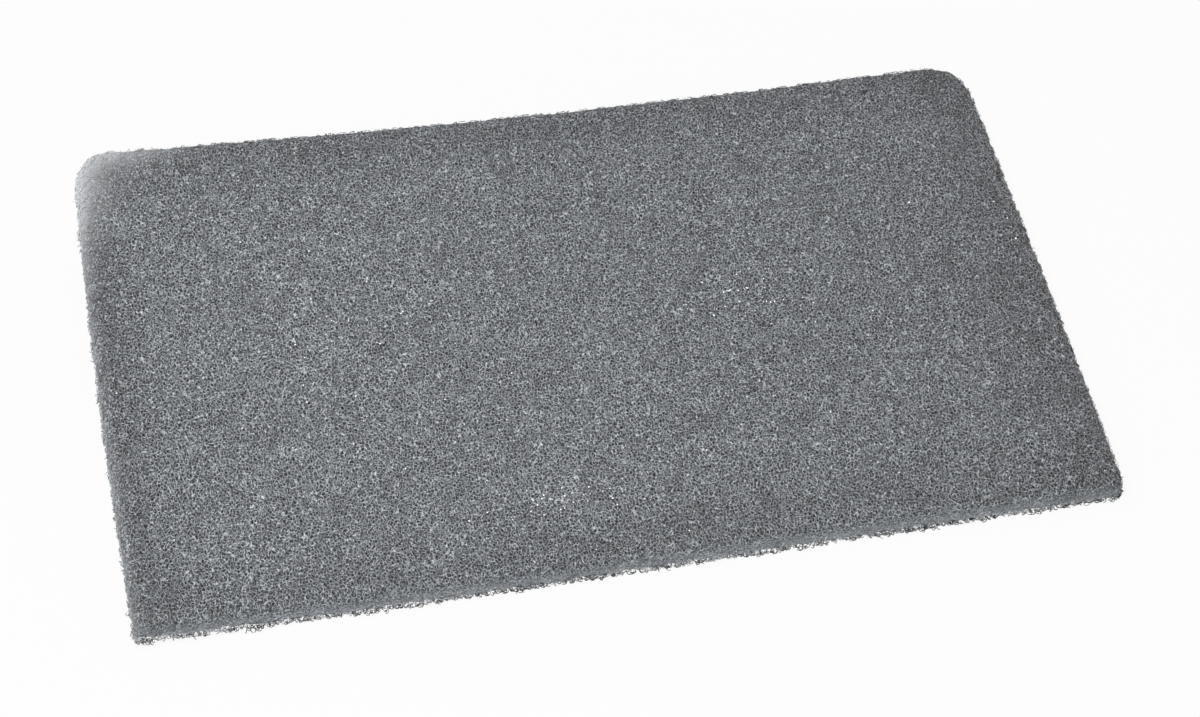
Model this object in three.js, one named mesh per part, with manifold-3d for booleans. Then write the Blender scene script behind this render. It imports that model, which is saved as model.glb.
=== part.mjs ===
// Abrasive sheet: one piece cut from a lofty web of crimped fibres, bonded with resin and grain.
// Millimetres, +Z up. The sheet lies on Z = 0 with its origin under the middle of its outline.
// +X runs along its length, and +Y across it, from the near edge to the far edge.
// Its far left corner has kept a little of the web's curl and stands clear of the surface.
import * as THREE from "three";
import { ImprovedNoise } from "three/addons/math/ImprovedNoise.js";
import { mergeVertices } from "three/addons/utils/BufferGeometryUtils.js";
import Module from "manifold-3d";

// The cut outline
const sheetLength = 228.6;
const sheetWidth = 152.4;
const farLeftRadius = 10.5;
const farRightRadius = 12;
const nearLeftRadius = 1.2;
const nearRightRadius = 2.4;
const leftBow = 0.9;
const rightBow = 0.4;
const nearBow = 0.3;

// The web
const webLoft = 6.9;
const shoulderWidth = 3.6;
const shoulderDrop = 1.3;
const hollowWidth = 26;
const hollowDepth = 0.45;
const tuftWidth = 9;
const tuftHeight = 0.8;
const fringeWidth = 5.2;
const fringeDepth = 0.9;

// The curl that the sheet has kept, and how deep its tufts bed down where it lies flat
const cornerLift = 10.8;
const curlSkewDegrees = 42;
const bedding = 0.7;

// How finely the surface is faceted
const facetPitch = 4.9;
const wallRows = 3;
const shoulderSteps = [0, 0.22, 0.55, 1];

const noise = new ImprovedNoise();
const seed = { hollows: 3.7, tufts: 11.3, underside: 23.9, fringe: 41.1 };

// Distances from one edge to the surface's grid lines: close over each shoulder, then even.
function gridLines(span) {
  const shoulder = shoulderSteps.map((share) => share * shoulderWidth);
  const middle = span - 2 * shoulderWidth;
  const cells = Math.max(2, Math.round(middle / facetPitch));
  const even = Array.from({ length: cells - 1 }, (_, i) => shoulderWidth + (middle * (i + 1)) / cells);
  return [...shoulder, ...even, ...shoulder.map((d) => span - d).reverse()];
}

// The radius of the corner that a point of the rectangle is nearest to.
function cornerRadius(x, y) {
  if (y > 0) return x < 0 ? farLeftRadius : farRightRadius;
  return x < 0 ? nearLeftRadius : nearRightRadius;
}

// Moves a point of the plain rectangle into the cut outline: each corner's square becomes a
// quarter disc, and the sides bow out between their corners.
function intoOutline(x, y) {
  const halfLength = sheetLength / 2;
  const halfWidth = sheetWidth / 2;
  const radius = cornerRadius(x, y);
  const across = (Math.abs(x) - (halfLength - radius)) / radius;
  const along = (Math.abs(y) - (halfWidth - radius)) / radius;
  let rounded = { x, y };
  if (across > 0 && along > 0) {
    rounded = {
      x: Math.sign(x) * (halfLength - radius + radius * across * Math.sqrt(1 - along ** 2 / 2)),
      y: Math.sign(y) * (halfWidth - radius + radius * along * Math.sqrt(1 - across ** 2 / 2)),
    };
  }
  const sideBow = (x < 0 ? leftBow : rightBow) * (x / halfLength) * (1 - (y / halfWidth) ** 2);
  const endBow = y < 0 ? nearBow * (y / halfWidth) * (1 - (x / halfLength) ** 2) : 0;
  return { x: rounded.x + sideBow, y: rounded.y + endBow };
}

// The way out of the sheet at a point of the plain rectangle's edge.
function outward(x, y) {
  const radius = cornerRadius(x, y);
  const coreX = THREE.MathUtils.clamp(x, radius - sheetLength / 2, sheetLength / 2 - radius);
  const coreY = THREE.MathUtils.clamp(y, radius - sheetWidth / 2, sheetWidth / 2 - radius);
  return new THREE.Vector2(x - coreX, y - coreY).normalize();
}

// The web's uneven surface: slow hollows, with tufts of fibre on them.
function relief(x, y, face) {
  const hollow = hollowDepth * noise.noise(x / hollowWidth, y / hollowWidth, seed.hollows + face);
  const tuft = tuftHeight * noise.noise(x / tuftWidth, y / tuftWidth, face);
  return hollow + tuft;
}

// How far the blade has pressed the web down at a distance from the cut.
function shoulder(distance) {
  const inward = Math.min(1, distance / shoulderWidth);
  return shoulderDrop * (1 - Math.sqrt(1 - (1 - inward) ** 2));
}

// The curl is a shallow bend across the far left corner, which starts on a slanting line
// through the far right corner. Gives its direction and its state at a point of the plan.
function curlAt(x, y) {
  const skew = THREE.MathUtils.degToRad(curlSkewDegrees);
  const towards = new THREE.Vector2(-Math.cos(skew), Math.sin(skew));
  const start = (sheetLength / 2) * towards.x + (sheetWidth / 2) * towards.y;
  const reach = sheetLength * Math.cos(skew);
  const bend = cornerLift / reach ** 2;
  const beyond = Math.max(0, x * towards.x + y * towards.y - start);
  return {
    towards,
    lift: bend * beyond ** 2,
    slope: Math.atan(2 * bend * beyond),
    shortening: (2 / 3) * bend ** 2 * beyond ** 3,
  };
}

// A point of the curled sheet, by the grid lines that cross there and its layer in the web.
function webPoint(column, row, layer, lines) {
  const plainX = lines.x[column] - sheetLength / 2;
  const plainY = lines.y[row] - sheetWidth / 2;
  const toCut = Math.min(
    lines.x[column],
    sheetLength - lines.x[column],
    lines.y[row],
    sheetWidth - lines.y[row],
  );
  const plan = intoOutline(plainX, plainY);
  const curl = curlAt(plan.x, plan.y);

  // The underside's tufts are pressed flat where the sheet rests, and free where it lifts.
  const freed = Math.min(1, curl.lift / bedding);
  const underside = freed * relief(plan.x, plan.y, seed.underside);
  const top = webLoft - shoulder(toCut) + relief(plan.x, plan.y, seed.tufts);
  const share = layer / wallRows;
  const height = share * top + (1 - share) * underside;

  // On the cut itself, tufts stand out of the wall and gaps run into it.
  if (toCut === 0) {
    const out = outward(plainX, plainY);
    const level = seed.fringe + height / fringeWidth;
    const fray = fringeDepth * noise.noise(plan.x / fringeWidth, plan.y / fringeWidth, level);
    plan.x += out.x * fray;
    plan.y += out.y * fray;
  }

  // Sections stay square to the bent sheet, so its upper layers lean back over the bend.
  const back = curl.shortening + height * Math.sin(curl.slope);
  return {
    x: plan.x - back * curl.towards.x,
    y: plan.y - back * curl.towards.y,
    z: curl.lift + height * Math.cos(curl.slope) - bedding,
  };
}

// A box with its grid lines moved to the web's surface, then curled.
function webGeometry() {
  const lines = { x: gridLines(sheetLength), y: gridLines(sheetWidth) };
  const columns = lines.x.length - 1;
  const rows = lines.y.length - 1;
  const box = new THREE.BoxGeometry(1, 1, 1, columns, rows, wallRows);
  box.deleteAttribute("normal");
  box.deleteAttribute("uv");
  const geometry = mergeVertices(box);
  const position = geometry.attributes.position;
  for (let i = 0; i < position.count; i++) {
    const column = Math.round((position.getX(i) + 0.5) * columns);
    const row = Math.round((position.getY(i) + 0.5) * rows);
    const layer = Math.round((position.getZ(i) + 0.5) * wallRows);
    const placed = webPoint(column, row, layer, lines);
    position.setXYZ(i, placed.x, placed.y, placed.z);
  }
  return geometry;
}

// The surface that the sheet lies on, as a block to trim its underside flat with.
function restingBlock() {
  const depth = 10;
  const block = new THREE.BoxGeometry(2 * sheetLength, 2 * sheetWidth, depth).translate(0, 0, -depth / 2);
  block.deleteAttribute("normal");
  block.deleteAttribute("uv");
  return mergeVertices(block);
}

const wasm = await Module();
wasm.setup();

function toSolid(geometry) {
  return new wasm.Manifold(
    new wasm.Mesh({
      numProp: 3,
      vertProperties: new Float32Array(geometry.attributes.position.array),
      triVerts: new Uint32Array(geometry.index.array),
    }),
  );
}

function toGeometry(solid) {
  const mesh = solid.getMesh();
  const geometry = new THREE.BufferGeometry();
  geometry.setAttribute("position", new THREE.BufferAttribute(mesh.vertProperties, 3));
  geometry.setIndex(new THREE.BufferAttribute(mesh.triVerts, 1));
  return geometry;
}

// Puts the middle of the outline over the origin.
function centred(geometry) {
  geometry.computeBoundingBox();
  const middle = geometry.boundingBox.getCenter(new THREE.Vector3());
  return geometry.translate(-middle.x, -middle.y, 0);
}

const webMaterial = new THREE.MeshStandardMaterial({ color: 0x7a7e83, roughness: 0.85, metalness: 0 });

function abrasiveSheet() {
  const trimmed = toSolid(webGeometry()).subtract(toSolid(restingBlock()));
  const geometry = centred(toGeometry(trimmed));
  geometry.computeVertexNormals();
  const mesh = new THREE.Mesh(geometry, webMaterial);
  mesh.name = "abrasive_sheet";
  return mesh;
}

const part = new THREE.Group();
part.add(abrasiveSheet());
export default part;
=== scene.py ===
import math

import bpy
import numpy as np
from mathutils import Matrix, Vector
from mathutils.bvhtree import BVHTree


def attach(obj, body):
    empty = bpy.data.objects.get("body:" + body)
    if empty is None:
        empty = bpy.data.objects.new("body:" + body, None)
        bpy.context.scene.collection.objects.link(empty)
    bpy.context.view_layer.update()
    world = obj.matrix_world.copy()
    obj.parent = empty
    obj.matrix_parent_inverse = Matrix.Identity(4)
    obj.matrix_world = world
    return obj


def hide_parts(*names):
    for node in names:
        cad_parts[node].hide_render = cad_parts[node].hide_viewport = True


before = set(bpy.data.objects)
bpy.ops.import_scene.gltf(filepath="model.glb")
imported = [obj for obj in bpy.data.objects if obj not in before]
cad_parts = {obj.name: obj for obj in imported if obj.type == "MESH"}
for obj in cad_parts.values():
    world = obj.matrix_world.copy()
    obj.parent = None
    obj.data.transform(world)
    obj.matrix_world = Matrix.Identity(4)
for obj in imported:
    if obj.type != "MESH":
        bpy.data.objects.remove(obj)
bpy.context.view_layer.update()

MM = 0.001

# the camera

AZIMUTH = math.radians(-9.61)
ELEVATION = math.radians(44.674)
ROLL = math.radians(-1.416)
DISTANCE = 0.90598
TARGET = Vector((0.00466, -0.00649, 0.0))
FOCAL_PX = 3775.6
IMAGE_WIDTH = 1200
SENSOR_MM = 36.0
CLIP_START, CLIP_END = 0.01, 20.0


def add_camera():
    back = Vector((
        math.sin(AZIMUTH) * math.cos(ELEVATION),
        -math.cos(AZIMUTH) * math.cos(ELEVATION),
        math.sin(ELEVATION),
    ))
    level = Vector((math.cos(AZIMUTH), math.sin(AZIMUTH), 0.0))
    upright = back.cross(level)
    right = math.cos(ROLL) * level + math.sin(ROLL) * upright
    up = -math.sin(ROLL) * level + math.cos(ROLL) * upright
    data = bpy.data.cameras.new("camera")
    data.sensor_width = SENSOR_MM
    data.lens = FOCAL_PX * data.sensor_width / IMAGE_WIDTH
    data.clip_start = CLIP_START
    data.clip_end = CLIP_END
    camera = bpy.data.objects.new("camera", data)
    bpy.context.scene.collection.objects.link(camera)
    place = TARGET + back * DISTANCE
    camera.matrix_world = Matrix((
        (right.x, up.x, back.x, place.x),
        (right.y, up.y, back.y, place.y),
        (right.z, up.z, back.z, place.z),
        (0.0, 0.0, 0.0, 1.0),
    ))
    bpy.context.scene.camera = camera


add_camera()

# the sheet's own surface
# Sheet coordinates in millimetres: u along the length, v across, h above the underside.

LENGTH, WIDTH = 228.6, 152.4
LOFT = 6.9
SHOULDER_WIDTH, SHOULDER_DROP = 3.6, 1.3
FAR_LEFT_RADIUS, FAR_RIGHT_RADIUS = 10.5, 12.0
NEAR_LEFT_RADIUS, NEAR_RIGHT_RADIUS = 1.2, 2.4
LEFT_BOW, RIGHT_BOW, NEAR_BOW = 0.9, 0.4, 0.3
# A small nick in the far edge, and how far in it fades.
NICK_AT, NICK_WIDTH, NICK_DEPTH, NICK_REACH = -91.6, 0.9, 0.8, 2.0
CORNER_LIFT = 10.8
CURL_SKEW = math.radians(42)
# How far the sheet's own weight beds it into the floor, and how far its box's middle is off.
BEDDING = 0.7
CENTRE = (0.25, 0.15)


def corner_radius(u, v):
    return np.where(
        v > 0,
        np.where(u < 0, FAR_LEFT_RADIUS, FAR_RIGHT_RADIUS),
        np.where(u < 0, NEAR_LEFT_RADIUS, NEAR_RIGHT_RADIUS),
    )


def into_outline(u, v):
    """Plan places on the flat sheet, with rounded corners, bowed edges and the far edge's nick."""
    radius = corner_radius(u, v)
    across = (np.abs(u) - (LENGTH / 2 - radius)) / radius
    along = (np.abs(v) - (WIDTH / 2 - radius)) / radius
    corner = (across > 0) & (along > 0)
    round_across = radius * across * np.sqrt(np.clip(1 - along**2 / 2, 0, 1))
    round_along = radius * along * np.sqrt(np.clip(1 - across**2 / 2, 0, 1))
    x = np.where(corner, np.sign(u) * (LENGTH / 2 - radius + round_across), u)
    y = np.where(corner, np.sign(v) * (WIDTH / 2 - radius + round_along), v)
    bow_u = 1 - np.clip(u / (LENGTH / 2), -1, 1) ** 2
    bow_v = 1 - np.clip(v / (WIDTH / 2), -1, 1) ** 2
    x = x + np.where(u < 0, LEFT_BOW, RIGHT_BOW) * (u / (LENGTH / 2)) * bow_v
    y = y + np.where(v < 0, NEAR_BOW * (v / (WIDTH / 2)) * bow_u, 0)
    nick = np.exp(-(((u - NICK_AT) / NICK_WIDTH) ** 2))
    nick = nick * np.exp(-np.abs(WIDTH / 2 - v) / NICK_REACH)
    return x, y - NICK_DEPTH * nick


def curl_at(x, y):
    """The curl's direction in plan, and its lift, slope and pull inwards at a plan place."""
    towards = (-math.cos(CURL_SKEW), math.sin(CURL_SKEW))
    start = LENGTH / 2 * towards[0] + WIDTH / 2 * towards[1]
    reach = LENGTH * math.cos(CURL_SKEW)
    bend = CORNER_LIFT / reach**2
    beyond = np.maximum(0, x * towards[0] + y * towards[1] - start)
    return towards, bend * beyond**2, np.arctan(2 * bend * beyond), 2 / 3 * bend**2 * beyond**3


def shoulder(inward):
    """How far the top face rolls down at a distance in from the cut."""
    share = np.clip(inward / SHOULDER_WIDTH, 0, 1)
    return SHOULDER_DROP * (1 - np.sqrt(1 - (1 - share) ** 2))


def to_cut(u, v):
    """Distance in from the nearest cut."""
    return np.minimum(LENGTH / 2 - np.abs(u), WIDTH / 2 - np.abs(v))


def bend_into_place(u, v, h):
    """Points of the curled sheet in millimetres, from sheet coordinates."""
    x, y = into_outline(u, v)
    towards, lift, slope, shortening = curl_at(x, y)
    back = shortening + h * np.sin(slope)
    x = x - back * towards[0] + CENTRE[0]
    y = y - back * towards[1] + CENTRE[1]
    return np.stack([x, y, lift + h * np.cos(slope) - BEDDING], axis=-1)


# The relief's grid, the height in metres it is read from, the rim it leaves plain, and its most.
RELIEF_PITCH = 2.0
READ_FROM = 0.1
RELIEF_RIM, RELIEF_LIMIT = 1.0, 1.5
# A place in the grid stays this much before its end, so that it has a cell to its right.
CELL_END = 1.001


class Relief:
    """The CAD solid's tufts, read off it on a grid of sheet coordinates."""

    def __init__(self, node, pitch):
        mesh = node.data
        corners = [vertex.co for vertex in mesh.vertices]
        tree = BVHTree.FromPolygons(corners, [face.vertices for face in mesh.polygons])
        self.us = np.linspace(-LENGTH / 2, LENGTH / 2, int(LENGTH / pitch) + 1)
        self.vs = np.linspace(-WIDTH / 2, WIDTH / 2, int(WIDTH / pitch) + 1)
        grid_u, grid_v = np.meshgrid(self.us, self.vs, indexing="ij")
        plain = LOFT - shoulder(to_cut(grid_u, grid_v))
        points = bend_into_place(grid_u, grid_v, plain)
        self.height = np.zeros(grid_u.shape)
        for i in range(len(self.us)):
            for j in range(len(self.vs)):
                x, y, z = points[i, j]
                hit = tree.ray_cast(Vector((x * MM, y * MM, READ_FROM)), Vector((0, 0, -1)))[0]
                if hit is not None and to_cut(self.us[i], self.vs[j]) > RELIEF_RIM:
                    self.height[i, j] = np.clip(hit.z / MM - z, -RELIEF_LIMIT, RELIEF_LIMIT)

    def at(self, u, v):
        """The relief between the grid's points."""
        i = np.clip((u - self.us[0]) / (self.us[1] - self.us[0]), 0, len(self.us) - CELL_END)
        j = np.clip((v - self.vs[0]) / (self.vs[1] - self.vs[0]), 0, len(self.vs) - CELL_END)
        i0, j0 = i.astype(int), j.astype(int)
        fi, fj = i - i0, j - j0
        h = self.height
        return (
            h[i0, j0] * (1 - fi) * (1 - fj)
            + h[i0 + 1, j0] * fi * (1 - fj)
            + h[i0, j0 + 1] * (1 - fi) * fj
            + h[i0 + 1, j0 + 1] * fi * fj
        )


relief = Relief(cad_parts["abrasive_sheet"], RELIEF_PITCH)


def top_height(u, v):
    """Height of the web's upper face above its underside."""
    return LOFT - shoulder(np.maximum(0, to_cut(u, v))) + relief.at(u, v)


# painted light and shade: how the web's colour changes from place to place

# Painted light: the far left corner, where the sheet lifts, is painted pale, and the paleness runs
# out along its two edges.
PALE_CORNER, PALE_REACH, PALE_ASPECT = 1.15, 21.0, 0.8
PALE_DEPTH, PALE_DEPTH_REACH = 9.5, 24.0
# A pale band along the left cut: its fuzz, and painted light where its shoulder rolls off; how pale
# it is, and how fast it runs out inwards.
LEFT_FUZZ_AND_LIGHT, LEFT_FUZZ_AND_LIGHT_DEPTH = 0.26, 1.1
# Painted light: the cut faces are painted paler towards their foot.
FOOT_PALE, FOOT_PALE_HEIGHT = 1.6, 1.6
# Painted shade: the web is darker beside its cuts: how much, how far in the darkest line is, and
# how wide.
RIM_SHADE = {"right": (0.17, 6, 10), "far": (0.17, 5, 10), "near": (0.12, 5, 8), "left": (0.22, 4, 5)}
DARKEST_RIM_SHADE = 0.3
# Painted light: it is lighter left of its middle, over this reach, and painted shade darkens it a
# little towards the right.
MIDDLE_LIGHT, MIDDLE_AT, MIDDLE_REACH = 0.05, -35, 150
SHADE_TO_RIGHT = 0.0004


def inside_outline(u, v):
    """Distance in from the sheet's rounded outline."""
    x, y = into_outline(u, v)
    radius = corner_radius(u, v)
    in_x = LENGTH / 2 - np.abs(x)
    in_y = WIDTH / 2 - np.abs(y)
    round_off = radius - np.hypot(np.maximum(0, radius - in_x), np.maximum(0, radius - in_y))
    corner = (in_x < radius) & (in_y < radius)
    return np.maximum(0, np.where(corner, round_off, np.minimum(in_x, in_y)))


def pale(u, v):
    """How far the web is painted pale, from 0 to 1: painted light on the lifted far left corner,
    and along the left cut its fuzz with painted light.
    """
    inward = inside_outline(u, v)
    away = np.hypot(u + LENGTH / 2, PALE_ASPECT * (v - WIDTH / 2))
    depth = PALE_DEPTH * np.exp(-away / PALE_DEPTH_REACH)
    corner = PALE_CORNER * np.exp(-((away / PALE_REACH) ** 2)) * np.exp(-inward / depth)
    left = LEFT_FUZZ_AND_LIGHT * np.exp(-(u + LENGTH / 2) / LEFT_FUZZ_AND_LIGHT_DEPTH)
    return np.clip(corner + left, 0, 1)


def foot_pale(height):
    """How far a cut face is painted pale, as painted light, at a height above the underside."""
    return FOOT_PALE * np.exp(-height / FOOT_PALE_HEIGHT)


def shade(u, v):
    """What the web's colour is multiplied by from place to place: painted shade beside the cuts and
    towards the right, and painted light left of its middle.
    """
    along = np.cos(np.pi * np.clip((u - MIDDLE_AT) / MIDDLE_REACH, -1, 1))
    across = np.cos(np.pi * np.clip(v / MIDDLE_REACH, -0.5, 0.5))
    middle = 1 + MIDDLE_LIGHT * along * across
    inward = {
        "right": LENGTH / 2 - u,
        "far": WIDTH / 2 - v,
        "near": WIDTH / 2 + v,
        "left": LENGTH / 2 + u,
    }
    rims = 0
    for side, (darker, at, width) in RIM_SHADE.items():
        rims = rims + darker * np.exp(-(((inward[side] - at) / width) ** 2))
    return middle * (1 - np.minimum(DARKEST_RIM_SHADE, rims)) * (1 - SHADE_TO_RIGHT * (u + LENGTH / 2))


# building meshes

# A fibre's section is a triangle, and it stays this many radii clear of the floor.
FIBRE_SIDES = 3
FLOOR_CLEARANCE = 1.1
# Below this slope from the upright, a fibre's sideways direction is taken as the sheet's length.
UPRIGHT = 0.05
# Keeps a length from being zero where it divides.
TINY = 1e-9


def make_mesh(name, points, faces, sizes, values):
    """A mesh piece from points in millimetres, flat face indices, each face's count of corners,
    and named values at its points for the materials."""
    mesh = bpy.data.meshes.new(name)
    mesh.vertices.add(len(points))
    mesh.vertices.foreach_set("co", (points * MM).astype(np.float32).ravel())
    mesh.loops.add(len(faces))
    mesh.loops.foreach_set("vertex_index", faces.astype(np.int32))
    mesh.polygons.add(len(sizes))
    starts = np.concatenate([[0], np.cumsum(sizes)[:-1]])
    mesh.polygons.foreach_set("loop_start", starts.astype(np.int32))
    mesh.polygons.foreach_set("use_smooth", np.ones(len(sizes), dtype=bool))
    mesh.update(calc_edges=True)
    mesh.validate()
    for key, value in values.items():
        layer = mesh.attributes.new(key, "FLOAT", "POINT")
        layer.data.foreach_set("value", value.astype(np.float32).ravel())
    piece = bpy.data.objects.new(name, mesh)
    bpy.context.scene.collection.objects.link(piece)
    return piece


def tubes(name, u, v, h, radius, tone, paler=0.0):
    """Closed fibres along lines of sheet coordinates, with a radius and a tone at each step.
    Each has the shape (count, steps), or spreads to it."""
    sides = FIBRE_SIDES
    lines = bend_into_place(u, v, h)
    lines[..., 2] = np.maximum(lines[..., 2], radius * FLOOR_CLEARANCE)
    count, steps, _ = lines.shape
    along = np.gradient(lines, axis=1)
    along /= np.linalg.norm(along, axis=2, keepdims=True) + TINY
    up = np.array([0.0, 0.0, 1.0])
    side = np.cross(along, up)
    flat = np.linalg.norm(side, axis=2, keepdims=True)
    side = np.where(flat > UPRIGHT, side / (flat + TINY), np.array([1.0, 0.0, 0.0]))
    over = np.cross(side, along)
    rings = []
    for k in range(sides):
        angle = math.pi / 2 + 2 * math.pi * k / sides
        rings.append(lines + radius[..., None] * (math.cos(angle) * side + math.sin(angle) * over))
    points = np.stack(rings, axis=2).reshape(-1, 3)
    first = (np.arange(count)[:, None] * steps + np.arange(steps - 1)[None, :])[..., None] * sides
    k = np.arange(sides)
    near = first + k
    near_next = first + (k + 1) % sides
    quads = np.stack([near, near + sides, near_next + sides, near_next], axis=-1).reshape(-1, 4)
    caps_start = np.arange(count)[:, None] * steps * sides + k[None, :]
    caps_end = (np.arange(count)[:, None] + 1) * steps * sides - 1 - k[None, :]
    faces = np.concatenate([quads.ravel(), caps_start.ravel(), caps_end.ravel()])
    sizes = np.concatenate([np.full(len(quads), 4), np.full(2 * count, sides)])
    values = {"tone": tone, "shade": shade(u, v), "pale": np.clip(pale(u, v) + paler, 0, 1)}
    for key, value in values.items():
        values[key] = np.repeat(np.broadcast_to(value, u.shape)[..., None], sides, axis=2)
    return make_mesh(name, points, faces, sizes, values)


# How far a step of a fibre goes along and across the sheet: the web is laid across it.
LAY = (0.85, 1.25)
# The same along and up the cut faces.
WALL_LAY = (0.8, 1.2)
# How much fibres differ in the swing and the length of their crimp.
SWING_RANGE, WAVE_RANGE = (0.6, 1.3), (0.7, 1.4)
# A ripple on the crimp, as shares of its swing and of its length.
RIPPLE_SWING, RIPPLE_WAVE = 0.4, 0.45


def any_angle(rng, count):
    return rng.uniform(0, 2 * np.pi, (count, 1))


def crimped_paths(rng, count, length, step, swing, wave, drift, lay):
    """Plan paths of crimped fibres (count, steps, 2) about the origin.
    Each has a wave in its heading, on a slow turn."""
    steps = int(round(length / step)) + 1
    s = np.arange(steps) * step
    swings = swing * rng.uniform(*SWING_RANGE, (count, 1))
    waves = wave * rng.uniform(*WAVE_RANGE, (count, 1))
    heading = any_angle(rng, count)
    heading = heading + swings * np.sin(2 * np.pi * s / waves + any_angle(rng, count))
    ripple = np.sin(2 * np.pi * s / (RIPPLE_WAVE * waves) + any_angle(rng, count))
    heading = heading + RIPPLE_SWING * swings * ripple + drift * rng.normal(0, 1, (count, 1)) * s
    x = np.cumsum(np.cos(heading) * step * lay[0], axis=1)
    y = np.cumsum(np.sin(heading) * step * lay[1], axis=1)
    path = np.stack([x, y], axis=-1)
    return path - path.mean(axis=1, keepdims=True)


# the web's core

# How far the core's top lies under the web's face, away from the cuts and at them.
CORE_DEPTH, CORE_RIM_DEPTH = 0.4, 0.2
# Its underside's height above the web's, and its least height above the floor.
CORE_BOTTOM, CORE_CLEARANCE = 0.35, 0.12
# Its grids stop this far in from the cuts, with this distance between their lines.
CORE_RIM, CORE_PITCH = 2.6, 1.5
# How near a place has to be to the grids' rim to count as on it.
ON_RIM = 1e-6
CORE_SEED = 5
# The core's section near a cut, from its underside to its top.
# Each row is an inset, a share of the height, and a raggedness.
CORE_SECTION = [
    (2.3, 0.0, 0.6),
    (1.6, 0.06, 0.6),
    (1.0, 0.14, 0.5),
    (0.5, 0.25, 0.25),
    (0.3, 0.42, 0.1),
    (0.25, 0.7, 0.06),
    (0.35, 0.87, 0.06),
    (0.9, 0.97, 0.06),
]
# The cut faces end this many rows below the core's top.
SHOULDER_ROWS = 2


def build_core():
    """One closed skin: a grid on the top, a grid on the underside, and a rolled wall between."""
    rng = np.random.default_rng(CORE_SEED)
    columns = int(LENGTH / CORE_PITCH)
    rows = int(WIDTH / CORE_PITCH)
    us = np.linspace(-LENGTH / 2 + CORE_RIM, LENGTH / 2 - CORE_RIM, columns + 1)
    vs = np.linspace(-WIDTH / 2 + CORE_RIM, WIDTH / 2 - CORE_RIM, rows + 1)
    grid_u, grid_v = np.meshgrid(us, vs, indexing="ij")

    def core_point(u, v, share):
        near_cut = np.clip(1 - to_cut(u, v) / CORE_RIM, 0, 1)
        top = top_height(u, v) - CORE_DEPTH + (CORE_DEPTH - CORE_RIM_DEPTH) * near_cut
        return bend_into_place(u, v, CORE_BOTTOM + share * (top - CORE_BOTTOM))

    def index(i, j):
        return i * (rows + 1) + j

    points = [core_point(grid_u, grid_v, share).reshape(-1, 3) for share in (1.0, 0.0)]
    places = [(grid_u.ravel(), grid_v.ravel(), np.zeros(grid_u.size))] * 2
    per_grid = (columns + 1) * (rows + 1)
    i, j = np.meshgrid(np.arange(columns), np.arange(rows), indexing="ij")
    i, j = i.ravel(), j.ravel()
    corners = [index(i, j), index(i + 1, j), index(i + 1, j + 1), index(i, j + 1)]
    top_quads = np.stack(corners, axis=-1)
    bottom_quads = per_grid + top_quads[:, ::-1]
    loop = (
        [(i, 0) for i in range(columns)]
        + [(columns, j) for j in range(rows)]
        + [(i, rows) for i in range(columns, 0, -1)]
        + [(0, j) for j in range(rows, 0, -1)]
    )
    ring = np.array([index(i, j) for i, j in loop])
    ring_u = np.array([us[i] for i, _ in loop])
    ring_v = np.array([vs[j] for _, j in loop])
    out_u = np.where(np.abs(ring_u) >= us[-1] - ON_RIM, np.sign(ring_u), 0)
    out_v = np.where(np.abs(ring_v) >= vs[-1] - ON_RIM, np.sign(ring_v), 0)
    previous = per_grid + ring
    wall_quads = []
    offset = 2 * per_grid
    for inset, share, raggedness in CORE_SECTION:
        ragged = inset + raggedness * rng.uniform(-1, 1, len(ring))
        u = ring_u + out_u * (CORE_RIM - ragged)
        v = ring_v + out_v * (CORE_RIM - ragged)
        points.append(core_point(u, v, share))
        places.append((u, v, np.full(len(ring), foot_pale(share * LOFT))))
        current = offset + np.arange(len(ring))
        wall_quads.append(
            np.stack([previous, np.roll(previous, -1), np.roll(current, -1), current], axis=-1)
        )
        previous = current
        offset += len(ring)
    wall_quads.append(np.stack([previous, np.roll(previous, -1), np.roll(ring, -1), ring], axis=-1))
    quads = np.concatenate([top_quads, bottom_quads] + wall_quads)
    points = np.concatenate(points)
    points[:, 2] = np.maximum(points[:, 2], CORE_CLEARANCE)
    u, v, paler = (np.concatenate(column) for column in zip(*places))
    values = {"shade": shade(u, v), "pale": np.clip(pale(u, v) + paler, 0, 1)}
    piece = make_mesh("web_core", points, quads.ravel(), np.full(len(quads), 4), values)
    wall_start = len(top_quads) + len(bottom_quads) + len(ring)
    wall_end = wall_start + (len(CORE_SECTION) - SHOULDER_ROWS) * len(ring)
    place = np.arange(len(quads))
    cut_faces = (place >= wall_start) & (place < wall_end)
    piece.data.polygons.foreach_set("material_index", cut_faces.astype(np.int32))
    return piece


core = build_core()

# the fibres

# A fibre's radius, and how much it differs from one to another.
FIBRE_RADIUS, RADIUS_RANGE = 0.095, (0.65, 1.35)
# How much one fibre's tone differs from another's.
TONE_SPREAD = 0.14
# Steps between neighbours' places that spread any number of fibres evenly over the sheet.
EVEN_STEP = (0.7548777, 0.5698403)
# How much a fibre turns for each millimetre, and the fibre's length that halves this.
DRIFT, DRIFT_LENGTH = 0.15, 20
# A fibre's least distance from the cut, and how much more it may be.
CUT_MARGIN, CUT_MARGIN_MORE = 0.05, 0.4
# Its weave in and out of the face: the length of a wave, its depth, and the least depth.
WEAVE_RANGE, SWELL_RANGE, DEPTH_RANGE = (1.8, 3.6), (0.15, 0.5), (0.02, 0.3)
# Its ends dive this deep, from this share of its half length on.
DIVE_DEPTH, DIVE_FROM = 0.6, 0.72
# The depth at which a fibre is darkest, as painted shade deeper in the web.
DARK_DEPTH = 0.5


def fold(values, limit):
    """Turns what runs past a limit back inside it."""
    over = np.maximum(0, np.abs(values) - limit)
    return np.sign(values) * (np.abs(values) - 2 * over)


def ends_dive(steps):
    """0 along a fibre's middle, rising to 1 at its two ends."""
    t = np.abs(np.linspace(-1, 1, steps))
    return np.clip((t - DIVE_FROM) / (1 - DIVE_FROM), 0, 1) ** 2


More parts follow.
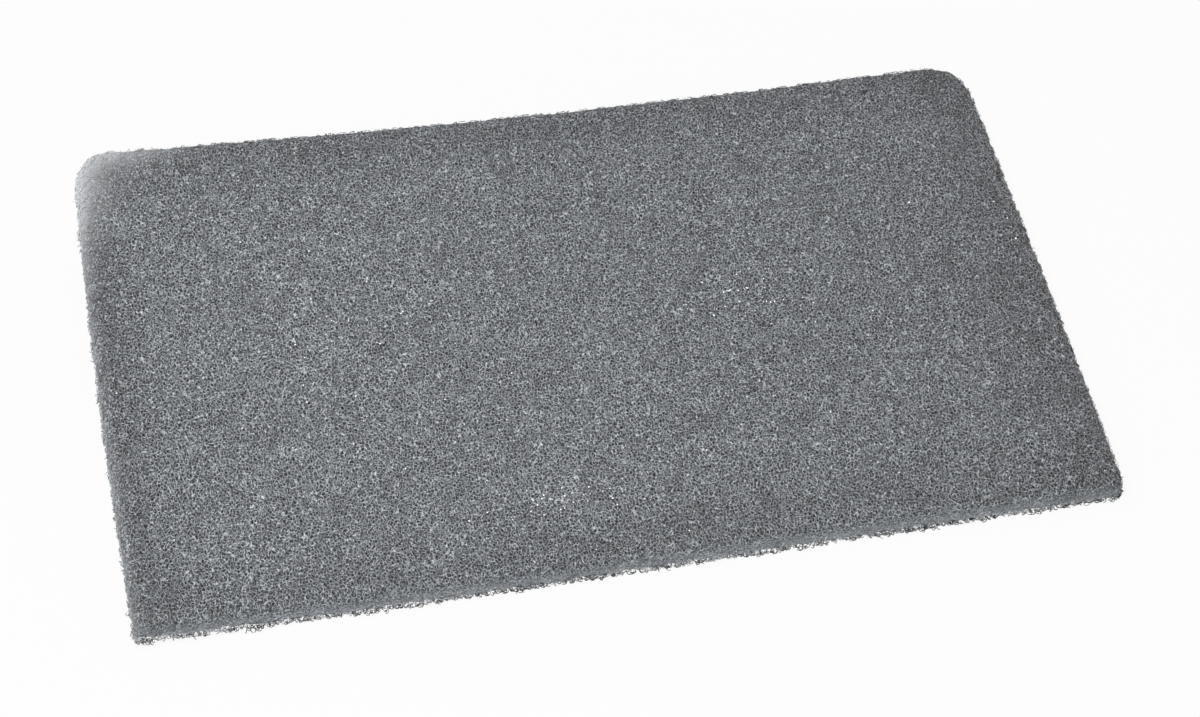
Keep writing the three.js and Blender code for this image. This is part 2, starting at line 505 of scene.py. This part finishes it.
def surface_fibres(name, seed, length_total, length, step, swing=1.0, wave=3.4, underside=False):
    """Fibres that weave in and out of a face of the web: pale where they reach it, painted darker
    below as painted shade.
    """
    rng = np.random.default_rng(seed)
    count = int(length_total / length)
    drift = DRIFT / (1 + length / DRIFT_LENGTH)
    paths = crimped_paths(rng, count, length, step, swing, wave, drift, LAY)
    turn = np.arange(count)[:, None] + rng.random()
    centre_u = LENGTH * (np.mod(turn * EVEN_STEP[0], 1) - 0.5)
    centre_v = WIDTH * (np.mod(turn * EVEN_STEP[1], 1) - 0.5)
    margin = CUT_MARGIN + CUT_MARGIN_MORE * rng.random((count, 1)) ** 2
    u = fold(paths[..., 0] + centre_u, LENGTH / 2 - margin)
    v = fold(paths[..., 1] + centre_v, WIDTH / 2 - margin)
    steps = u.shape[1]
    s = np.arange(steps) * step
    weave = rng.uniform(*WEAVE_RANGE, (count, 1))
    swell = rng.uniform(*SWELL_RANGE, (count, 1))
    least = rng.uniform(*DEPTH_RANGE, (count, 1))
    wave_down = 0.5 + 0.5 * np.sin(2 * np.pi * s / weave + any_angle(rng, count))
    depth = least + swell * wave_down + DIVE_DEPTH * ends_dive(steps)
    radius = FIBRE_RADIUS * rng.uniform(*RADIUS_RANGE, (count, 1)) * np.ones((1, steps))
    depth = np.maximum(depth, radius * FLOOR_CLEARANCE)
    h = depth if underside else top_height(u, v) - depth
    # Painted shade: a fibre's tone falls with its depth, with a random spread from fibre to fibre.
    tone = np.clip(1 - depth / DARK_DEPTH, 0, 1) + rng.normal(0, TONE_SPREAD, (count, 1))
    return tubes(name, u, v, h, radius, tone)


# The name, the seed, the length of all the fibres, the length of one, and its step.
fibres = [
    surface_fibres("web_fibres_top_1", 11, 22000, 5.6, 0.7),
    surface_fibres("web_fibres_top_2", 12, 22000, 5.6, 0.7),
    surface_fibres("web_fibres_long", 21, 6000, 15.4, 1.1, swing=0.5, wave=7.0),
    surface_fibres("web_fibres_under", 31, 9000, 9.8, 0.7, underside=True),
]

# the cut faces

PERIMETER = 2 * (LENGTH + WIDTH)


def perimeter_point(along, inset):
    """Sheet coordinates at a distance along the cut, anticlockwise from the near left corner."""
    along = np.mod(along, PERIMETER)
    sides = [along < LENGTH, along < LENGTH + WIDTH, along < 2 * LENGTH + WIDTH]
    up_right = along - LENGTH - WIDTH / 2
    back_far = LENGTH / 2 - (along - LENGTH - WIDTH)
    down_left = WIDTH / 2 - (along - 2 * LENGTH - WIDTH)
    u = np.select(sides, [along - LENGTH / 2, LENGTH / 2 - inset, back_far], -LENGTH / 2 + inset)
    v = np.select(sides, [-WIDTH / 2 + inset, up_right, WIDTH / 2 - inset], down_left)
    return u, v


# The crimp of the fibres in the cut faces.
WALL_SWING, WALL_WAVE, WALL_DRIFT = 1.2, 3.0, 0.25
# Their inset from the cut, the depth of its wave and the number of waves, and its limits.
WALL_INSET, WALL_INSET_WAVE, WALL_WAVES = (0.1, 0.45), 0.3, (0.8, 2.2)
WALL_INSET_LEAST, WALL_INSET_MOST = 0.02, 1.6
# Their middles' heights as shares of a span, how much of the crimp goes up, and their limits.
WALL_SHARES, WALL_SPAN, WALL_RISE = (0.1, 1.0), LOFT - 1.0, 0.8
WALL_FOOT, WALL_TOP_CLEAR = 0.8, 0.12
WALL_RADIUS_RANGE = (0.7, 1.25)
# Their tone at the cut, partly painted light on the cut faces, and how fast it falls inwards, as
# painted shade deeper in the cut.
WALL_TONE, WALL_TONE_FALL = 0.8, 0.8


def cut_fibres(name, seed, length_total, length, step, radius):
    """Fibres in the cut face: they run along and up the wall, clear of its foot."""
    rng = np.random.default_rng(seed)
    count = int(length_total / length)
    paths = crimped_paths(rng, count, length, step, WALL_SWING, WALL_WAVE, WALL_DRIFT, WALL_LAY)
    steps = paths.shape[1]
    s = np.linspace(0, 1, steps)
    along = rng.uniform(0, PERIMETER, (count, 1)) + paths[..., 0]
    height = rng.uniform(*WALL_SHARES, (count, 1)) * WALL_SPAN + WALL_RISE * paths[..., 1]
    inset = rng.uniform(*WALL_INSET, (count, 1))
    waves = rng.uniform(*WALL_WAVES, (count, 1))
    inset = inset + WALL_INSET_WAVE * np.sin(2 * np.pi * s * waves + any_angle(rng, count))
    inset = np.clip(inset, WALL_INSET_LEAST, WALL_INSET_MOST)
    u, v = perimeter_point(along, inset)
    height = np.clip(height, WALL_FOOT, top_height(u, v) - WALL_TOP_CLEAR)
    tone = np.clip(WALL_TONE - WALL_TONE_FALL * inset, 0, 1)
    tone = tone + rng.normal(0, TONE_SPREAD, (count, 1))
    radii = radius * rng.uniform(*WALL_RADIUS_RANGE, (count, 1)) * np.ones((1, steps))
    return tubes(name, u, v, height, radii, tone, paler=foot_pale(height))


# The lengths of the waves that gather the torn ends into clumps, and their strength.
CLUMP_WAVES, CLUMP_STRENGTH = (31.0, 13.0, 6.0, 3.1), 0.3


def clumps(rng, along):
    """0 to 1 around the perimeter: 1 where the torn ends stand thick, 0 where there are none."""
    total = np.zeros(along.shape)
    for length in CLUMP_WAVES:
        waves = round(PERIMETER / length)
        total += np.sin(2 * np.pi * waves * along / PERIMETER + rng.uniform(0, 2 * np.pi))
    return np.clip(0.5 + CLUMP_STRENGTH * total, 0, 1)


# Points along a torn end, its length, and its turn for each millimetre.
END_STEPS, END_LENGTH, END_CURL = 5, (0.9, 2.0), (1.0, 3.2)
# How much the ends' first headings differ, how far they lean, and the share at the foot.
END_HEADING, END_TILT, FOOT_SHARE = 0.5, 1.2, 0.55
# How far in they start: at the foot, less where they stand thick, and on the wall.
FOOT_ROOT, FOOT_ROOT_THICK, WALL_ROOT = 1.4, 0.7, 0.9
# How fast they come out, how far out they may be, and the share of that on the wall.
END_REACH, END_OUT, WALL_END_SHARE = 1.2, 1.9, 0.07
# Their heights at the foot and on the wall, and their distances from the web's two faces.
FOOT_HEIGHT, WALL_HEIGHT = (0.1, 1.5), (0.8, LOFT - 2.2)
END_CLEAR, END_TOP_CLEAR = 0.1, 1.0
# Their tones at the foot, dark as painted shade, and on the wall, and how much these and their
# radii differ.
FOOT_TONE, WALL_END_TONE, END_TONE_SPREAD = 0.08, 0.5, 0.1
END_RADIUS_RANGE = (0.75, 1.2)


def torn_ends(name, seed, count, radius):
    """Short torn ends that curl out of the wall, most of them at its foot, in clumps."""
    rng = np.random.default_rng(seed)
    steps = END_STEPS
    length = rng.uniform(*END_LENGTH, (count, 1))
    s = length * np.linspace(0, 1, steps)
    start = rng.uniform(0, PERIMETER, (count, 1))
    thick = clumps(rng, start)
    curl = rng.choice([-1.0, 1.0], (count, 1)) * rng.uniform(*END_CURL, (count, 1))
    heading = rng.normal(0, END_HEADING, (count, 1)) + curl * s
    step = length / (steps - 1)
    out = np.cumsum(np.cos(heading) * step, axis=1)
    aside = np.cumsum(np.sin(heading) * step, axis=1)
    tilt = rng.uniform(-END_TILT, END_TILT, (count, 1))
    foot = rng.random((count, 1)) < FOOT_SHARE
    root = np.where(foot, FOOT_ROOT - FOOT_ROOT_THICK * thick, WALL_ROOT)
    most = -END_OUT * np.where(foot, thick * rng.random((count, 1)), WALL_END_SHARE)
    inset = np.maximum(root - END_REACH * out, most)
    low = rng.uniform(*FOOT_HEIGHT, (count, 1))
    height = np.where(foot, low, rng.uniform(*WALL_HEIGHT, (count, 1)))
    u, v = perimeter_point(start + np.cos(tilt) * aside, inset)
    height = np.clip(height + np.sin(tilt) * aside, END_CLEAR, top_height(u, v) - END_TOP_CLEAR)
    tone = np.where(foot, FOOT_TONE, WALL_END_TONE) + rng.normal(0, END_TONE_SPREAD, (count, 1))
    radii = radius * rng.uniform(*END_RADIUS_RANGE, (count, 1)) * np.ones((1, steps))
    return tubes(name, u, v, height, radii, tone)


# The fibres along the cut are given like those above, with their radius. The torn ends are
# given by a name, a seed, a count and a radius.
cut_face = [
    cut_fibres("web_fibres_cut", 51, 7000, 4.9, 0.7, 0.1),
    torn_ends("web_fibres_torn_ends", 71, 6200, 0.1),
]

# the bright grains

# A patch of grains that catch the light: its middle, its spread, and how many it holds.
GRAIN_PATCHES = [
    ((42, 1), (7, 4), 30),
    ((-58, -2), (7, 14), 40),
    ((-12, -56), (10, 4), 45),
    ((5, 5), (70, 42), 60),
]
# Their radius, and how much it differs from grain to grain and from corner to corner.
GRAIN_RADIUS, GRAIN_RANGE, GRAIN_CORNERS = 0.3, (0.6, 1.3), (0.8, 1.2)
# How far the grains keep from the cut, and how deep their middles are.
GRAIN_MARGIN, GRAIN_DEPTH = 4, 0.03
GOLDEN = (1 + math.sqrt(5)) / 2
ICOSAHEDRON = np.array([
    (-1, GOLDEN, 0), (1, GOLDEN, 0), (-1, -GOLDEN, 0), (1, -GOLDEN, 0),
    (0, -1, GOLDEN), (0, 1, GOLDEN), (0, -1, -GOLDEN), (0, 1, -GOLDEN),
    (GOLDEN, 0, -1), (GOLDEN, 0, 1), (-GOLDEN, 0, -1), (-GOLDEN, 0, 1),
]) / math.hypot(1, GOLDEN)
ICOSAHEDRON_FACES = np.array([
    (0, 11, 5), (0, 5, 1), (0, 1, 7), (0, 7, 10), (0, 10, 11),
    (1, 5, 9), (5, 11, 4), (11, 10, 2), (10, 7, 6), (7, 1, 8),
    (3, 9, 4), (3, 4, 2), (3, 2, 6), (3, 6, 8), (3, 8, 9),
    (4, 9, 5), (2, 4, 11), (6, 2, 10), (8, 6, 7), (9, 8, 1),
])


def bright_grains(name, seed):
    """Small irregular grains half sunk among the top fibres."""
    rng = np.random.default_rng(seed)
    places = []
    for axis, extent in enumerate((LENGTH, WIDTH)):
        drawn = [rng.normal(at[axis], spread[axis], count) for at, spread, count in GRAIN_PATCHES]
        limit = extent / 2 - GRAIN_MARGIN
        places.append(np.clip(np.concatenate(drawn), -limit, limit))
    u, v = places
    centres = bend_into_place(u, v, top_height(u, v) - GRAIN_DEPTH)
    corners = len(ICOSAHEDRON)
    size = GRAIN_RADIUS * rng.uniform(*GRAIN_RANGE, (len(u), 1, 1))
    size = size * rng.uniform(*GRAIN_CORNERS, (len(u), corners, 1))
    points = (centres[:, None, :] + size * ICOSAHEDRON).reshape(-1, 3)
    faces = (corners * np.arange(len(u))[:, None, None] + ICOSAHEDRON_FACES).reshape(-1)
    return make_mesh(name, points, faces, np.full(len(ICOSAHEDRON_FACES) * len(u), 3), {})


grains = bright_grains("web_grains", 91)

# the materials


def new_material(name):
    material = bpy.data.materials.new(name)
    material.use_nodes = True
    nodes = material.node_tree.nodes
    nodes.clear()
    output = nodes.new("ShaderNodeOutputMaterial")
    shader = nodes.new("ShaderNodeBsdfPrincipled")
    material.node_tree.links.new(shader.outputs["BSDF"], output.inputs["Surface"])
    return material, material.node_tree, shader


# How the greys lean to blue.
LESS_RED, MORE_BLUE = 0.055, 0.06


def grey(level, blue=0.0):
    """A linear colour near grey, with a cool tint."""
    return (level * (1 - LESS_RED - blue), level, level * (1 + MORE_BLUE + blue), 1.0)


# The near-white the web is mixed towards where it is painted pale: painted light, and along the
# left cut its fuzz.
PALE_LIGHT_AND_FUZZ = grey(0.95, -0.03)
# How far a noise swings to either side of its middle.
NOISE_REACH = 0.2
# A fibre's light and dark patches, and its speckles: a noise's scale, detail, low and high.
FIBRE_MOTTLE, FIBRE_FLECK = (130.0, 3.0, 0.93, 1.07), (1700.0, 2.0, 0.35, 1.65)
# The same for a fibre's roughness to the touch, the core's speckles and a facet's clouds.
FIBRE_GRAIN = (9000.0, 2.0, 0.0, 1.0)
CORE_FLECK, GRAIN_CLOUD = (1900.0, 2.0, 0.35, 1.65), (3000.0, 2.0, 0.0, 1.0)
# How strong a bump is, and how high in metres.
FIBRE_BUMP, CORE_BUMP = (0.4, 0.00004), (0.8, 0.0003)
FIBRE_ROUGHNESS, CORE_ROUGHNESS = 0.38, 0.7
FACET_DIM, FACET_BRIGHT = grey(0.85, -0.05), grey(1.0, -0.05)
FACET_METALLIC, FACET_ROUGHNESS = 0.9, 0.08
# The core's pores, longer across the sheet, and how its strands are made crooked.
CORE_STRETCH, CROOKED_SCALE, CROOKED_REACH = (1.1, 0.75, 1.0), 1400.0, 0.0006
# The core's strand nets: pores to a metre, a shift in metres, the width and the brightness.
STRANDS = [(1280.0, (0.0, 0.0, 0.0), 0.12, 1.0), (1850.0, (0.31, 0.17, 0.05), 0.12, 0.4)]
# The share of a strand's width over which it is at its brightest.
STRAND_MIDDLE = 0.3


def value_at_points(tree, name):
    node = tree.nodes.new("ShaderNodeAttribute")
    node.attribute_name = name
    return node.outputs["Fac"]


def noise_between(tree, coords, scale, detail, low, high):
    """A noise turned into a factor between two values."""
    noise = tree.nodes.new("ShaderNodeTexNoise")
    noise.inputs["Scale"].default_value = scale
    noise.inputs["Detail"].default_value = detail
    tree.links.new(coords, noise.inputs["Vector"])
    between = tree.nodes.new("ShaderNodeMapRange")
    between.inputs["From Min"].default_value = 0.5 - NOISE_REACH
    between.inputs["From Max"].default_value = 0.5 + NOISE_REACH
    between.inputs["To Min"].default_value = low
    between.inputs["To Max"].default_value = high
    tree.links.new(noise.outputs["Fac"], between.inputs["Value"])
    return between.outputs["Result"]


def combine(tree, operation, first, second):
    node = tree.nodes.new("ShaderNodeMath")
    node.operation = operation
    tree.links.new(first, node.inputs[0])
    tree.links.new(second, node.inputs[1])
    return node.outputs["Value"]


def ramp_between(tree, factor, low, high):
    ramp = tree.nodes.new("ShaderNodeValToRGB")
    ramp.color_ramp.elements[0].color = low
    ramp.color_ramp.elements[1].color = high
    tree.links.new(factor, ramp.inputs["Fac"])
    return ramp.outputs["Color"]


def colour_with_painted_light(tree, colour, factor):
    """The colour times a factor and the place's painted shade, and mixed towards pale where light
    is painted.
    """
    nodes, links = tree.nodes, tree.links
    shaded = nodes.new("ShaderNodeVectorMath")
    shaded.operation = "SCALE"
    links.new(colour, shaded.inputs[0])
    scale = combine(tree, "MULTIPLY", factor, value_at_points(tree, "shade"))
    links.new(scale, shaded.inputs["Scale"])
    paled = nodes.new("ShaderNodeMix")
    paled.data_type = "RGBA"
    paled.inputs["B"].default_value = PALE_LIGHT_AND_FUZZ
    links.new(value_at_points(tree, "pale"), paled.inputs["Factor"])
    links.new(shaded.outputs["Vector"], paled.inputs["A"])
    return paled.outputs["Result"]


def object_coordinates(tree, stretch=(1.0, 1.0, 1.0)):
    coords = tree.nodes.new("ShaderNodeTexCoord")
    scaled = tree.nodes.new("ShaderNodeVectorMath")
    scaled.operation = "MULTIPLY"
    scaled.inputs[1].default_value = stretch
    tree.links.new(coords.outputs["Object"], scaled.inputs[0])
    return scaled.outputs["Vector"]


def add_bump(tree, shader, height, strength, distance):
    bump = tree.nodes.new("ShaderNodeBump")
    bump.inputs["Strength"].default_value = strength
    bump.inputs["Distance"].default_value = distance
    tree.links.new(height, bump.inputs["Height"])
    tree.links.new(bump.outputs["Normal"], shader.inputs["Normal"])


def fibre_material(name, low, high):
    """A resin-coated fibre with grain in it: speckled along its length, and glossy in places."""
    material, tree, shader = new_material(name)
    coords = object_coordinates(tree)
    mottle = noise_between(tree, coords, *FIBRE_MOTTLE)
    fleck = noise_between(tree, coords, *FIBRE_FLECK)
    colour = ramp_between(tree, value_at_points(tree, "tone"), low, high)
    colour = colour_with_painted_light(tree, colour, combine(tree, "MULTIPLY", mottle, fleck))
    tree.links.new(colour, shader.inputs["Base Color"])
    shader.inputs["Roughness"].default_value = FIBRE_ROUGHNESS
    add_bump(tree, shader, noise_between(tree, coords, *FIBRE_GRAIN), *FIBRE_BUMP)
    return material


def strand_net(tree, coords, cells, shift, width, brightness):
    """A net of crooked strands round irregular pores: its brightness on a strand, 0 in a pore."""
    nodes, links = tree.nodes, tree.links
    moved = nodes.new("ShaderNodeVectorMath")
    moved.operation = "ADD"
    moved.inputs[1].default_value = shift
    links.new(coords, moved.inputs[0])
    net = nodes.new("ShaderNodeTexVoronoi")
    net.feature = "DISTANCE_TO_EDGE"
    net.inputs["Scale"].default_value = cells
    links.new(moved.outputs["Vector"], net.inputs["Vector"])
    line = nodes.new("ShaderNodeMapRange")
    line.interpolation_type = "SMOOTHSTEP"
    line.inputs["From Min"].default_value = STRAND_MIDDLE * width
    line.inputs["From Max"].default_value = width
    line.inputs["To Min"].default_value = brightness
    line.inputs["To Max"].default_value = 0.0
    links.new(net.outputs["Distance"], line.inputs["Value"])
    return line.outputs["Result"]


def crooked(tree, coords, scale, reach):
    """Coordinates pushed about by a noise, which makes straight lines crooked."""
    nodes, links = tree.nodes, tree.links
    noise = nodes.new("ShaderNodeTexNoise")
    noise.inputs["Scale"].default_value = scale
    noise.inputs["Detail"].default_value = 1.0
    links.new(coords, noise.inputs["Vector"])
    push = nodes.new("ShaderNodeVectorMath")
    push.operation = "MULTIPLY_ADD"
    push.inputs[1].default_value = (reach, reach, reach)
    links.new(noise.outputs["Color"], push.inputs[0])
    links.new(coords, push.inputs[2])
    return push.outputs["Vector"]


def core_material(name, pore, strand):
    """The web below its outermost fibres: pale strands over pores painted nearly black, as painted
    shade in the web's depth.
    """
    material, tree, shader = new_material(name)
    coords = object_coordinates(tree, CORE_STRETCH)
    bent = crooked(tree, coords, CROOKED_SCALE, CROOKED_REACH)
    strands = strand_net(tree, bent, *STRANDS[0])
    for layer in STRANDS[1:]:
        strands = combine(tree, "MAXIMUM", strands, strand_net(tree, bent, *layer))
    fleck = noise_between(tree, coords, *CORE_FLECK)
    colour = colour_with_painted_light(tree, ramp_between(tree, strands, pore, strand), fleck)
    tree.links.new(colour, shader.inputs["Base Color"])
    shader.inputs["Roughness"].default_value = CORE_ROUGHNESS
    add_bump(tree, shader, strands, *CORE_BUMP)
    return material


def grain_material():
    """The facets of bright grain, which mirror the light."""
    material, tree, shader = new_material("bright_grain")
    cloud = noise_between(tree, object_coordinates(tree), *GRAIN_CLOUD)
    colour = ramp_between(tree, cloud, FACET_DIM, FACET_BRIGHT)
    tree.links.new(colour, shader.inputs["Base Color"])
    shader.inputs["Metallic"].default_value = FACET_METALLIC
    shader.inputs["Roughness"].default_value = FACET_ROUGHNESS
    return material


# The low ends of these ramps, near black, are painted shade for deep fibres and the core's pores.
# The cut faces' copies are bluer and lighter at their dark end: partly the cut ends' own colour,
# partly painted light on the walls.
fibre_look = fibre_material("bonded_fibre", grey(0.008), grey(0.84))
cut_look = fibre_material("cut_fibre", grey(0.03, 0.03), grey(0.85, 0.03))
core.data.materials.append(core_material("bonded_web", grey(0.003), grey(0.64)))
core.data.materials.append(core_material("cut_web", grey(0.04, 0.035), grey(0.66, 0.035)))
for piece in fibres:
    piece.data.materials.append(fibre_look)
for piece in cut_face:
    piece.data.materials.append(cut_look)

grains.data.materials.append(grain_material())
fibres = fibres + cut_face + [grains]
for piece in [core] + fibres:
    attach(piece, "root")
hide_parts("abrasive_sheet")

# the stage and the light

# Half the floor's width in metres, its paint, its glow and how much of that is seen.
FLOOR_HALF, FLOOR_PAINT, FLOOR_GLOW, FLOOR_SEEN = 3.0, (0.97, 0.97, 0.97, 1), 1.0, 0.9
# The world's strength as light, and as the camera sees it.
WORLD_LIGHT, WORLD_SEEN = 0.5, 1.0
# The lamp's place and size in metres, and its power in watts.
LAMP_PLACE, LAMP_SIZE, LAMP_POWER = (-0.45, -0.35, 1.25), 0.5, 9.5


def seen_white(tree, output, plain, white, share=1.0):
    """Shows one shader to light and another to the camera, to gloss and to glass."""
    rays = tree.nodes.new("ShaderNodeLightPath")
    seen = combine(tree, "MAXIMUM", rays.outputs["Is Camera Ray"], rays.outputs["Is Glossy Ray"])
    seen = combine(tree, "MAXIMUM", seen, rays.outputs["Is Transmission Ray"])
    part = tree.nodes.new("ShaderNodeMath")
    part.operation = "MULTIPLY"
    part.inputs[1].default_value = share
    tree.links.new(seen, part.inputs[0])
    mix = tree.nodes.new("ShaderNodeMixShader")
    tree.links.new(part.outputs["Value"], mix.inputs["Fac"])
    tree.links.new(plain, mix.inputs[1])
    tree.links.new(white, mix.inputs[2])
    tree.links.new(mix.outputs["Shader"], output.inputs["Surface"])


def add_floor():
    half = FLOOR_HALF
    corners = [(-half, -half, 0), (half, -half, 0), (half, half, 0), (-half, half, 0)]
    mesh = bpy.data.meshes.new("floor")
    mesh.from_pydata(corners, [], [(0, 1, 2, 3)])
    floor = bpy.data.objects.new("floor", mesh)
    bpy.context.scene.collection.objects.link(floor)
    material = bpy.data.materials.new("white_floor")
    material.use_nodes = True
    tree = material.node_tree
    tree.nodes.clear()
    output = tree.nodes.new("ShaderNodeOutputMaterial")
    paint = tree.nodes.new("ShaderNodeBsdfDiffuse")
    paint.inputs["Color"].default_value = FLOOR_PAINT
    glow = tree.nodes.new("ShaderNodeEmission")
    glow.inputs["Color"].default_value = (1, 1, 1, 1)
    glow.inputs["Strength"].default_value = FLOOR_GLOW
    seen_white(tree, output, paint.outputs["BSDF"], glow.outputs["Emission"], FLOOR_SEEN)
    mesh.materials.append(material)


def add_world():
    world = bpy.data.worlds.new("studio")
    bpy.context.scene.world = world
    world.use_nodes = True
    tree = world.node_tree
    tree.nodes.clear()
    output = tree.nodes.new("ShaderNodeOutputWorld")
    soft = tree.nodes.new("ShaderNodeBackground")
    soft.inputs["Strength"].default_value = WORLD_LIGHT
    white = tree.nodes.new("ShaderNodeBackground")
    white.inputs["Strength"].default_value = WORLD_SEEN
    seen_white(tree, output, soft.outputs["Background"], white.outputs["Background"])


def add_lamp():
    data = bpy.data.lights.new("key", "AREA")
    data.shape = "SQUARE"
    data.size = LAMP_SIZE
    data.energy = LAMP_POWER
    lamp = bpy.data.objects.new("key", data)
    bpy.context.scene.collection.objects.link(lamp)
    lamp.location = LAMP_PLACE
    lamp.rotation_euler = (-Vector(LAMP_PLACE)).to_track_quat("-Z", "Y").to_euler()


add_floor()
add_world()
add_lamp()

bpy.context.scene.view_settings.view_transform = "Standard"
